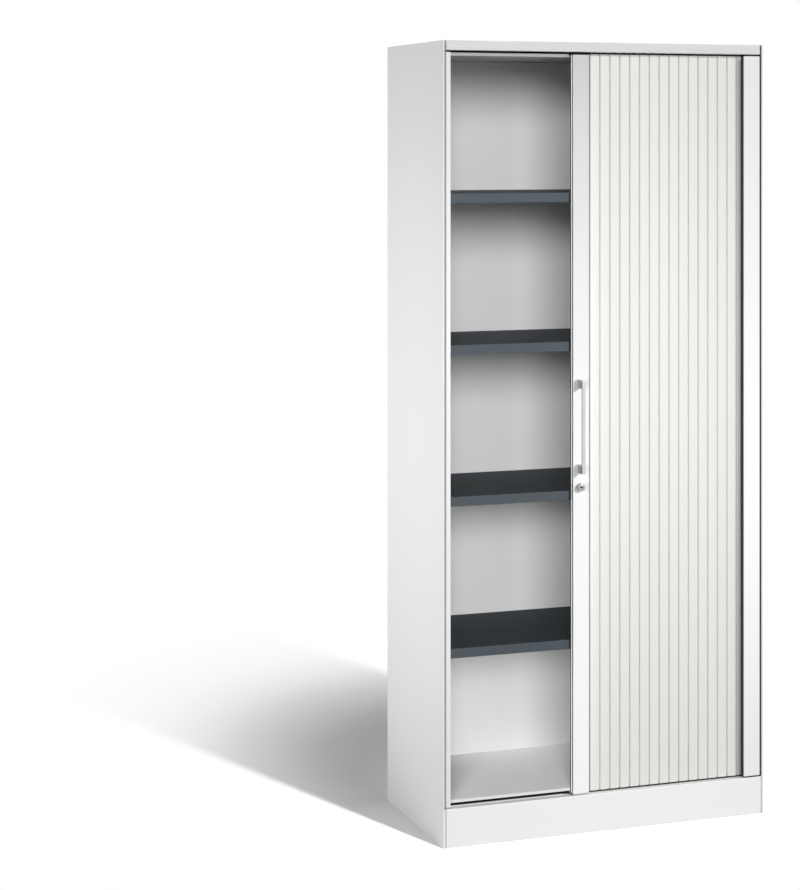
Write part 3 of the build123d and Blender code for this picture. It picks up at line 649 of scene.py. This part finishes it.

# %% [markdown]
# ### Painted shade in the joints at the right post
# Between the right post and the side panel's folded edge lies a narrow joint. A black liner stands
# in it as painted shade, so that the joint is as dark as a deep shadow all the way down. A black
# strip, also painted shade, closes the joint between the post and the plinth below it. Both are
# plain bars inside the cabinet's box.
# %% Painted shade liner and sill strip
SHADE_LINER_X = (RIGHT - 9.3 * MM, RIGHT - 5.6 * MM)
SHADE_LINER_Y = (FRONT + 1.2 * MM, FRONT + 9.0 * MM)
SHADE_LINER_Z = (BODY_BOTTOM - 1.5 * MM, TOP - 1.5 * MM)
SHADE_LINER_CORNER = 0.3 * MM
SHADE_SILL_X = (low("right_front_post").x + 0.5 * MM, RIGHT - 9.8 * MM)
SHADE_SILL_Y = (FRONT + 0.5 * MM, FRONT + 6.0 * MM)
SHADE_SILL_Z = (high("plinth_front").z + 0.05 * MM, BODY_BOTTOM - 0.05 * MM)

piece("joint_shade_liner", column(box_outline(SHADE_LINER_X, SHADE_LINER_Y, SHADE_LINER_CORNER), SHADE_LINER_Z), seal_and_shade_rubber,
      "cabinet")
piece("sill_shade_strip", column(box_outline(SHADE_SILL_X, SHADE_SILL_Y), SHADE_SILL_Z), seal_and_shade_rubber,
      "cabinet")
print("sill shade strip", round(SHADE_SILL_Z[1] - SHADE_SILL_Z[0], 4), "m high")

# %% [markdown]
# ## The leading rail
# The rail is an aluminium extrusion with two grooves down its leading side and a flange that takes
# the first slat. It is drawn as an outline carried up in three stretches, because the lock's hook
# swings out through a mouth in the middle one. A thin black lip lies in the joint between the rail
# and the first slat as painted shade: it draws the joint's shadow line.
# %% Leading rail
rail_low, rail_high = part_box("leading_rail")
cap_low, cap_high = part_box("rail_caps")
hook_low, hook_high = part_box("lock_hook")
plug_low, plug_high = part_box("lock_cylinder")
lock_centre = Vector(((plug_low.x + plug_high.x) / 2, FRONT, (plug_low.z + plug_high.z) / 2))

rail_left, rail_body_right, rail_back = cap_low.x, cap_high.x, cap_high.y
lip, rib, flank = 3.0 * MM, 6.3 * MM, 22.0 * MM
groove_width, groove_depth = 6.4 * MM, 1.6 * MM
rear_step = 3.0 * MM
flange_front = rail_back - 7.5 * MM
flange_right = rail_high.x - 2.3 * MM
mouth_depth, hook_clearance = 10 * MM, 0.75 * MM
mouth_bottom, mouth_top = lock_centre.z - 30 * MM, lock_centre.z + 5 * MM
SHADE_LIP_X = (SLATS_START - 2.2 * MM, SLATS_START - 0.1 * MM)
SHADE_LIP_Y = (SLAT_FRONT + 0.2 * MM, SLAT_FRONT + 1.2 * MM)


def rail_outline(mouth=False):
    """Outline of the rail, counterclockwise from above; with a mouth, the rib's front is cut away.

    Down the leading side lie a lip, a groove, a rib and a second groove that runs to the rear step.
    """
    y0, x0 = FRONT, rail_left
    sunk = x0 + groove_depth
    right_side = [(x0, y0), (rail_body_right, y0), (rail_body_right, flange_front),
                  (flange_right, flange_front), (flange_right, rail_back)]
    left_side = [(x0 + rear_step, rail_back), (x0 + rear_step, y0 + flank), (sunk, y0 + flank)]
    right_radii = [0.8 * MM, 0.8 * MM, 0.6 * MM, 0.4 * MM, 0.4 * MM]
    left_radii = [0.6 * MM, 0.3 * MM, 0.2 * MM]
    rib_front = y0 + lip + groove_width
    if mouth:
        deep = x0 + mouth_depth
        rear, front = hook_high.y + hook_clearance, hook_low.y - hook_clearance
        middle = [(sunk, rib_front + rib), (x0, rib_front + rib), (x0, rear),
                  (deep, rear), (deep, front), (sunk, front)]
        middle_radii = [0.2 * MM, 0.4 * MM, 0, 0, 0, 0]
    else:
        middle = [(sunk, rib_front + rib), (x0, rib_front + rib),
                  (x0, rib_front), (sunk, rib_front)]
        middle_radii = [0.2 * MM, 0.4 * MM, 0.4 * MM, 0.2 * MM]
    end = [(sunk, y0 + lip), (x0, y0 + lip)]
    radii = right_radii + left_radii + middle_radii + [0.2 * MM, 0.3 * MM]
    return rounded(right_side + left_side + middle + end, radii)


rail = piece(
    "leading_rail_body",
    joined(
        column(rail_outline(), (rail_low.z, mouth_bottom)),
        column(rail_outline(mouth=True), (mouth_bottom, mouth_top)),
        column(rail_outline(), (mouth_top, rail_high.z)),
    ),
    rail_coat, "shutter", ["leading_rail"],
)
piece("rail_shade_lip", column(box_outline(SHADE_LIP_X, SHADE_LIP_Y), (rail_low.z, rail_high.z)), seal_and_shade_rubber,
      "shutter")
print("rail outline points", len(rail_outline()))

# %% [markdown]
# Rubber strips lie in both grooves and close the gap to the post when the cabinet is shut. Their
# outer face is slightly hollow, so it stays darker than the rib between them.
# %% Edge seals
STRIP_SETBACK = 0.5 * MM
STRIP_SAG = 0.5 * MM


def strip_outline(y0, y1, steps=7):
    """Outline of a strip in a groove; its face is an arc, x = left + sag (1 - (2 s - 1)^2)."""
    s = np.linspace(1, 0, steps)
    arc = np.stack([rail_left + STRIP_SETBACK + STRIP_SAG * (1 - (2 * s - 1) ** 2),
                    y0 + s * (y1 - y0)], -1)
    return np.concatenate([arc, [[rail_left + groove_depth, y0], [rail_left + groove_depth, y1]]])


second_groove = FRONT + lip + groove_width + rib
grooves = [(FRONT + lip, FRONT + lip + groove_width), (second_groove, FRONT + flank)]
strips = [column(strip_outline(*groove), (rail_low.z, rail_high.z)) for groove in grooves]
piece("rail_edge_seals", joined(*strips), seal_and_shade_rubber, "shutter", ["edge_seals"])
print("seal strips", len(strips))

# %% [markdown]
# ## Handle
# The handle is a bow: a flat bar on two deep feet. Its side view is one outline, carried across the
# bar's width, and a bevel rounds every edge as the caster's tool would.
# %% Bow handle
handle_low, handle_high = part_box("handle")
BAR_DEPTH = 5 * MM
FOOT_HEIGHT = 22 * MM
BOW_RADIUS = 2.2 * MM
INNER_RADIUS = 2.0 * MM
EDGE_RADIUS = 0.9 * MM


def bevel(obj, width, segments, angle):
    """Rounds the edges that turn by more than an angle, so that they catch a line of light."""
    modifier = obj.modifiers.new("edges", "BEVEL")
    modifier.width = width
    modifier.segments = segments
    modifier.limit_method = "ANGLE"
    modifier.angle_limit = radians(angle)
    modifier.harden_normals = True


def bow(low_corner, high_corner, bar, foot):
    """A C-shaped outline in Y and Z, carried across X.

    Point (i, j) is (x_i, outline_j.y, outline_j.z).
    """
    y0, y1 = low_corner.y, high_corner.y
    z0, z1 = low_corner.z, high_corner.z
    side = rounded(
        [(y0, z0), (y1, z0), (y1, z0 + foot), (y0 + bar, z0 + foot),
         (y0 + bar, z1 - foot), (y1, z1 - foot), (y1, z1), (y0, z1)],
        [BOW_RADIUS, 0, 0, INNER_RADIUS, INNER_RADIUS, 0, 0, BOW_RADIUS], steps=6,
    )
    points = np.empty((2, len(side), 3))
    points[..., 0] = np.array([low_corner.x, high_corner.x])[:, None]
    points[..., 1:] = side[None]
    return points.reshape(-1, 3), tube_faces(2, len(side))


handle = piece("bow_handle", bow(handle_low, handle_high, BAR_DEPTH, FOOT_HEIGHT), satin_chrome,
               "shutter", ["handle"])
bevel(handle, EDGE_RADIUS, segments=3, angle=40)
print("handle", round(handle_high.z - handle_low.z, 3), "m long")

# %% [markdown]
# ## Lock
# The lock is turned: a housing with a rounded rim around a plug that sits a little deeper. The
# housing is a ring, so its profile goes around the axis and closes on itself.
# %% Lock housing
housing_low, housing_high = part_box("lock_housing")
bezel_radius = (housing_high.x - housing_low.x) / 2
bezel_height = FRONT - housing_low.y
plug_radius = (plug_high.x - plug_low.x) / 2
rim = 1.6 * MM
rim_turn = np.linspace(0, np.pi / 2, num=7)
bore, bore_mouth, mouth_fall = plug_radius + 0.05 * MM, plug_radius + 0.5 * MM, 0.9 * MM
neck_radius, neck_depth = 8.0 * MM, 7.9 * MM
foot_height = 0.6 * MM
hair_bevel = 0.05 * MM
profile = np.concatenate([
    [[bore, neck_depth], [bore, mouth_fall - bezel_height], [bore_mouth, -bezel_height]],
    np.stack([bezel_radius - rim + rim * np.sin(rim_turn),
              -bezel_height + rim - rim * np.cos(rim_turn)], -1),
    [[bezel_radius, -foot_height], [bezel_radius, 0], [neck_radius, 0], [neck_radius, neck_depth]],
])


def ring(profile, centre, steps=64):
    """A turned ring whose axis runs along Y: profile rows are (radius, y offset from the centre).

    Point (i, j) is centre + (r_i cos t_j, y_i, r_i sin t_j) with t from 0 to 2 pi. The profile
    closes on itself: the row after the last one is the first again.
    """
    t = np.linspace(0, 2 * np.pi, steps, endpoint=False)
    points = np.empty((len(profile), steps, 3))
    points[..., 0] = centre[0] + profile[:, :1] * np.cos(t)
    points[..., 1] = centre[1] + profile[:, 1:]
    points[..., 2] = centre[2] + profile[:, :1] * np.sin(t)
    faces = np.array(grid_faces(len(profile) + 1, steps, wrap=True)) % (len(profile) * steps)
    return points.reshape(-1, 3), faces.tolist()


housing = piece("lock_bezel", ring(profile[::-1], lock_centre), lock_chrome, "shutter",
                ["lock_housing"], smooth=True)
bevel(housing, hair_bevel, segments=1, angle=50)
print("lock housing", round(2 * bezel_radius, 4), "m wide")

# %% [markdown]
# The plug's face has a keyway, so its surface is drawn between closed curves: from the back of the
# keyway out to its edge, on to the rim, and then down the plug's side. The faces inside the keyway
# get a nearly black metal as painted shade, the dark inside the keyhole.
# %% Lock plug
PLUG_STEPS = 64
SOFT_EDGE = 0.15 * MM
PLUG_CHAMFER, PLUG_CHAMFER_END = 0.5 * MM, 0.1 * MM
KEYWAY_MIDDLE, KEYWAY_FLARE = 0.2, 1.06


def plug_shape(centre, radius, front, back, slot_width, slot_height, slot_depth):
    """Plug with a keyway, as a grid of closed curves, from the back of the keyway to the plug's.

    Curve i runs around the angle t. The keyway's outline is a rounded box,
    (w/2 |cos t|^0.5 sign, h/2 |sin t|^0.5 sign); the rim is (r cos t, r sin t).
    """
    t = np.linspace(0, 2 * np.pi, PLUG_STEPS, endpoint=False)
    circle = np.stack([np.cos(t), np.sin(t)], -1)
    round_box = np.sign(circle) * np.abs(circle) ** 0.5 * [slot_width / 2, slot_height / 2]
    curves = [(round_box * KEYWAY_MIDDLE, slot_depth), (round_box, slot_depth),
              (round_box, SOFT_EDGE), (round_box * KEYWAY_FLARE, 0.0),
              (circle * (radius - PLUG_CHAMFER), 0.0),
              (circle * (radius - PLUG_CHAMFER_END), SOFT_EDGE), (circle * radius, PLUG_CHAMFER),
              (circle * radius, back - front)]
    points = np.empty((len(curves), PLUG_STEPS, 3))
    for n, (curve, depth) in enumerate(curves):
        points[n, :, 0] = centre[0] + curve[:, 0]
        points[n, :, 1] = front + depth
        points[n, :, 2] = centre[2] + curve[:, 1]
    return points.reshape(-1, 3), tube_faces(len(curves), PLUG_STEPS)


lock_plug = piece("lock_plug",
                  plug_shape(lock_centre, plug_radius, plug_low.y, plug_high.y,
                             slot_width=7.8 * MM, slot_height=3.2 * MM, slot_depth=5 * MM),
                  lock_chrome, "latch", ["lock_cylinder"])
keyway_shade_faces = np.zeros(len(lock_plug.data.polygons), bool)
keyway_shade_faces[:2 * PLUG_STEPS] = True
keyway_shade_faces[-2] = True
second_finish(lock_plug, keyway, keyway_shade_faces)
print("lock at", [round(v, 4) for v in lock_centre])

# %% [markdown]
# ## Studio
# The floor is pale and so wide that no edge shows. A camera ray sees it brighter than other rays
# do, so that its lit part is white and yet it throws little light back up. The cabinet's shadow
# lies behind and to the left. A lamp casts it, and its fade is painted: it fades out over an
# ellipse around the cabinet, as it would under a wide soft lamp, because
# d = sqrt((x / 0.78)^2 + ((y - 0.30) / 1.12)^2) is turned into a weight by a colour ramp, and where
# the weight is 0 the floor is plain white.
# %% Helpers for the studio's shaders


def math_node(tree, operation, *values):
    """A Math node on its values, each a number or an output."""
    node = tree.nodes.new("ShaderNodeMath")
    node.operation = operation
    for socket, value in zip(node.inputs, values):
        if isinstance(value, (int, float)):
            socket.default_value = value
        else:
            tree.links.new(value, socket)
    return node.outputs["Value"]


def ramp_node(tree, value, start, end):
    """A smooth step from 0 at start to 1 at end."""
    node = tree.nodes.new("ShaderNodeMapRange")
    node.interpolation_type = "SMOOTHSTEP"
    node.inputs["From Min"].default_value = start
    node.inputs["From Max"].default_value = end
    tree.links.new(value, node.inputs["Value"])
    return node.outputs["Result"]


def mixed(tree, weight, first, second):
    """The first shader where the weight is 0, the second where it is 1."""
    node = tree.nodes.new("ShaderNodeMixShader")
    for socket, value in zip(node.inputs, (weight, first, second)):
        tree.links.new(value, socket)
    return node.outputs["Shader"]


def seen_or_cast(tree, seen, cast):
    """One shader for what is seen, straight, in gloss or through glass, another for other rays."""
    path = tree.nodes.new("ShaderNodeLightPath").outputs
    direct = math_node(tree, "MAXIMUM", path["Is Camera Ray"], path["Is Glossy Ray"])
    either = math_node(tree, "MAXIMUM", direct, path["Is Transmission Ray"])
    return mixed(tree, either, cast, seen)


def coloured(tree, kind, colour, strength=None):
    """A plain shader of a kind and colour, and of a strength if it shines."""
    node = tree.nodes.new(kind)
    node.inputs["Color"].default_value = (*colour, 1)
    if strength is not None:
        node.inputs["Strength"].default_value = strength
    return node.outputs[0]


# %% [markdown]
# The floor's own coordinates are metres too, so the ellipse and the edges that hold the shadow back
# are written as places. The stops of the ramp give the shadow's weight at half the distance d.
# %% Floor
FLOOR_SIZE = 30.0
SHADOW_HALF_WIDTH, SHADOW_HALF_DEPTH, SHADOW_CENTRE_Y = 0.78, 1.12, 0.30
FRONT_FADE = 0.02
RIGHT_FADE_START, RIGHT_FADE_END = 0.05, -0.2
STOPS = [(0.29, 1.0), (0.35, 0.9), (0.425, 0.7), (0.5, 0.49), (0.55, 0.33), (0.6, 0.21),
         (0.675, 0.1), (0.75, 0.05), (0.9, 0.0)]

floor_material = bpy.data.materials.new("studio floor")
floor_material.use_nodes = True
tree = floor_material.node_tree
tree.nodes.clear()
axes = tree.nodes.new("ShaderNodeSeparateXYZ")
tree.links.new(tree.nodes.new("ShaderNodeTexCoord").outputs["Object"], axes.inputs["Vector"])
across = math_node(tree, "MULTIPLY", axes.outputs["X"], 1 / SHADOW_HALF_WIDTH)
from_centre = math_node(tree, "SUBTRACT", axes.outputs["Y"], SHADOW_CENTRE_Y)
along = math_node(tree, "MULTIPLY", from_centre, 1 / SHADOW_HALF_DEPTH)
squares = [math_node(tree, "MULTIPLY", value, value) for value in (across, along)]
distance = math_node(tree, "SQRT", math_node(tree, "ADD", *squares))
fade = tree.nodes.new("ShaderNodeValToRGB")
elements = fade.color_ramp.elements
elements[0].position, elements[1].position = STOPS[0][0], STOPS[-1][0]
for place, _ in STOPS[1:-1]:
    elements.new(place)
for element, (_, value) in zip(elements, STOPS):
    element.color = (value, value, value, 1)
tree.links.new(math_node(tree, "MULTIPLY", distance, 0.5), fade.inputs["Fac"])
behind = ramp_node(tree, axes.outputs["Y"], FRONT - FRONT_FADE, FRONT + FRONT_FADE)
beside = ramp_node(tree, axes.outputs["X"], RIGHT + RIGHT_FADE_START, RIGHT + RIGHT_FADE_END)
weight = math_node(tree, "MULTIPLY", fade.outputs["Color"],
                   math_node(tree, "MULTIPLY", behind, beside))
shaded = mixed(tree, weight, coloured(tree, "ShaderNodeEmission", (1, 1, 1)),
               coloured(tree, "ShaderNodeBsdfDiffuse", (1.105, 1.113, 1.122)))
plain = coloured(tree, "ShaderNodeBsdfDiffuse", (0.42, 0.42, 0.42))
output = tree.nodes.new("ShaderNodeOutputMaterial")
tree.links.new(seen_or_cast(tree, shaded, plain), output.inputs["Surface"])

floor_mesh = bpy.data.meshes.new("studio_floor")
half_floor = FLOOR_SIZE / 2
floor_mesh.from_pydata([(-half_floor, -half_floor, 0), (half_floor, -half_floor, 0),
                        (half_floor, half_floor, 0), (-half_floor, half_floor, 0)],
                       [], [(0, 1, 2, 3)])
floor_mesh.materials.append(floor_material)
floor = bpy.data.objects.new("studio_floor", floor_mesh)
bpy.context.scene.collection.objects.link(floor)
print("floor", FLOOR_SIZE, "m wide")

# %% [markdown]
# ## Light
# The room's own light comes from the world. The camera sees the world as plain white, while all
# other rays get a dimmer one, so that the white backdrop doesn't wash out the shadows.
# %% World
world = bpy.data.worlds.new("studio world")
bpy.context.scene.world = world
world.use_nodes = True
tree = world.node_tree
tree.nodes.clear()
ambient = coloured(tree, "ShaderNodeBackground", (0.98, 1.0, 1.02), strength=0.22)
backdrop = coloured(tree, "ShaderNodeBackground", (1, 1, 1), strength=1.0)
output = tree.nodes.new("ShaderNodeOutputWorld")
tree.links.new(seen_or_cast(tree, backdrop, ambient), output.inputs["Surface"])
print("world", world.name)

# %% [markdown]
# A studio lights each face of a cabinet by itself, with cards and flags that keep one lamp off the
# next face. Here light linking does the work of the flags: each lamp is given the pieces that it
# lights. A high key lamp from the right models the front and draws the diagonal shadows on it, and
# a panel in front fills it in. The fascia and the plinth are kept off the key and share a sun, so
# that their tone is set apart from the posts'. The leading rail and its fittings have a spot, which
# is strongest low down, and the side panel, the compartments, the shelves' lips, the floor panel
# and the back have lamps of their own. One more sun lies on the studio floor only, and draws the
# cabinet's shadow there.
# %% Lamps


def lamp_object(name, kind, power, travel, place=(0, 0, 0)):
    """A lamp of a kind at a place, whose light travels along a direction."""
    obj = bpy.data.objects.new(name, bpy.data.lights.new(name, kind))
    obj.data.energy = power
    obj.location = place
    obj.rotation_mode = "QUATERNION"
    obj.rotation_quaternion = Vector(travel).to_track_quat("-Z", "Y")
    bpy.context.scene.collection.objects.link(obj)
    return obj


def sun(name, travel, strength, softness):
    """A sun whose light travels along a direction, as wide in degrees as its shadows need."""
    obj = lamp_object(name, "SUN", strength, travel)
    obj.data.angle = radians(softness)
    return obj


def panel_lamp(name, place, target, size, power):
    """A square panel of light at a place, turned towards a target."""
    obj = lamp_object(name, "AREA", power, Vector(target) - Vector(place), place)
    obj.data.size = size
    return obj


def spot_lamp(name, place, target, width, power, radius):
    """A spot whose cone is so many degrees wide and fades all the way to the rim."""
    obj = lamp_object(name, "SPOT", power, Vector(target) - Vector(place), place)
    obj.data.spot_size = radians(width)
    obj.data.spot_blend = 1.0
    obj.data.shadow_soft_size = radius
    return obj


def lit_by(lamp, *objs):
    """Lets a lamp light only these objects."""
    receivers = bpy.data.collections.new(f"{lamp.name}_receivers")
    for obj in objs:
        receivers.objects.link(obj)
    lamp.light_linking.receiver_collection = receivers


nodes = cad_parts
shelves = [nodes[name] for name in SHELVES]
inner_walls = [nodes[name] for name in FINISH_OF[inner_paint] if name != "floor_panel"]
inner_walls += [nodes[name] for name in UPRIGHTS + ["shelf_clips"]]
fittings = [handle, housing, lock_plug]
bands = [nodes["plinth_front"], nodes["top_panel"]]
pieces = [obj for obj in bpy.context.scene.objects if obj.type == "MESH" and obj is not floor]
outside = [obj for obj in pieces if obj not in inner_walls + shelves + [nodes["floor_panel"]]]
front = [obj for obj in outside if obj not in [nodes["top_panel"], rail] + fittings]

lit_by(sun("key_light", (-0.62, 1.0, -0.50), strength=1.35, softness=4),
       *[obj for obj in front if obj is not nodes["plinth_front"]])
lit_by(spot_lamp("rail_light", (1.958, FRONT - 2.6, 2.315), (-0.07, FRONT, -0.9), width=90,
                 power=468, radius=0.025), rail, *fittings)
lit_by(sun("flank_light", (1.0, 0.26, -0.1), strength=2.3, softness=10), rail)
lit_by(panel_lamp("front_light", (0.0, FRONT - 1.5, 1.15), (0, FRONT, 1.15), size=0.5, power=9.3),
       *front)
lit_by(panel_lamp("edge_light", (0.35, FRONT - 0.9, 0.75), (0.4, FRONT, 0.75), size=0.3,
                  power=1.3), nodes["right_front_post"])
lit_by(sun("band_light", (-0.42, 1.0, -0.36), strength=1.6, softness=6), *bands)
lit_by(panel_lamp("side_light", (LEFT - 1.6, 0, 1.0), (LEFT, 0, 1.0), size=0.6, power=17),
       nodes["left_side_panel"])
lit_by(sun("inner_light", (0.24, 1.0, -0.26), strength=2.05, softness=24), *inner_walls)
lit_by(sun("inner_right_light", (1.0, 1.0, -0.3), strength=1.15, softness=14),
       nodes["back_inner_wall"])
lit_by(sun("shelf_light", (0.24, 1.0, 0.0), strength=2.7, softness=10), *shelves)
lit_by(sun("sill_light", (0.42, 1.0, -0.64), strength=2.55, softness=24), nodes["floor_panel"])
lit_by(sun("back_light", (-0.3, -1.0, -0.45), strength=1.8, softness=30), *outside)
lit_by(sun("floor_light", (-0.347, 1.0, -0.50), strength=5.0, softness=3), floor)

# %% [markdown]
# ## Camera
# The camera stands to the left of the cabinet, a little under its top, and looks level, so that the
# uprights stay upright. The shift moves the frame down instead of the camera's aim.
# %% Camera
camera = bpy.data.cameras.new("camera")
camera.sensor_width = 36.0
camera.lens = 87.446
camera.shift_y = -0.33896
camera.clip_end = 100
camera_object = bpy.data.objects.new("camera", camera)
camera_object.location = (LEFT - 1.81994, FRONT - 4.97010, 1.72696)
camera_object.rotation_euler = (radians(90), 0, radians(-18.977))
bpy.context.scene.collection.objects.link(camera_object)
bpy.context.scene.camera = camera_object
bpy.context.scene.view_settings.view_transform = "Standard"
print("camera at", [round(v, 3) for v in camera_object.location])
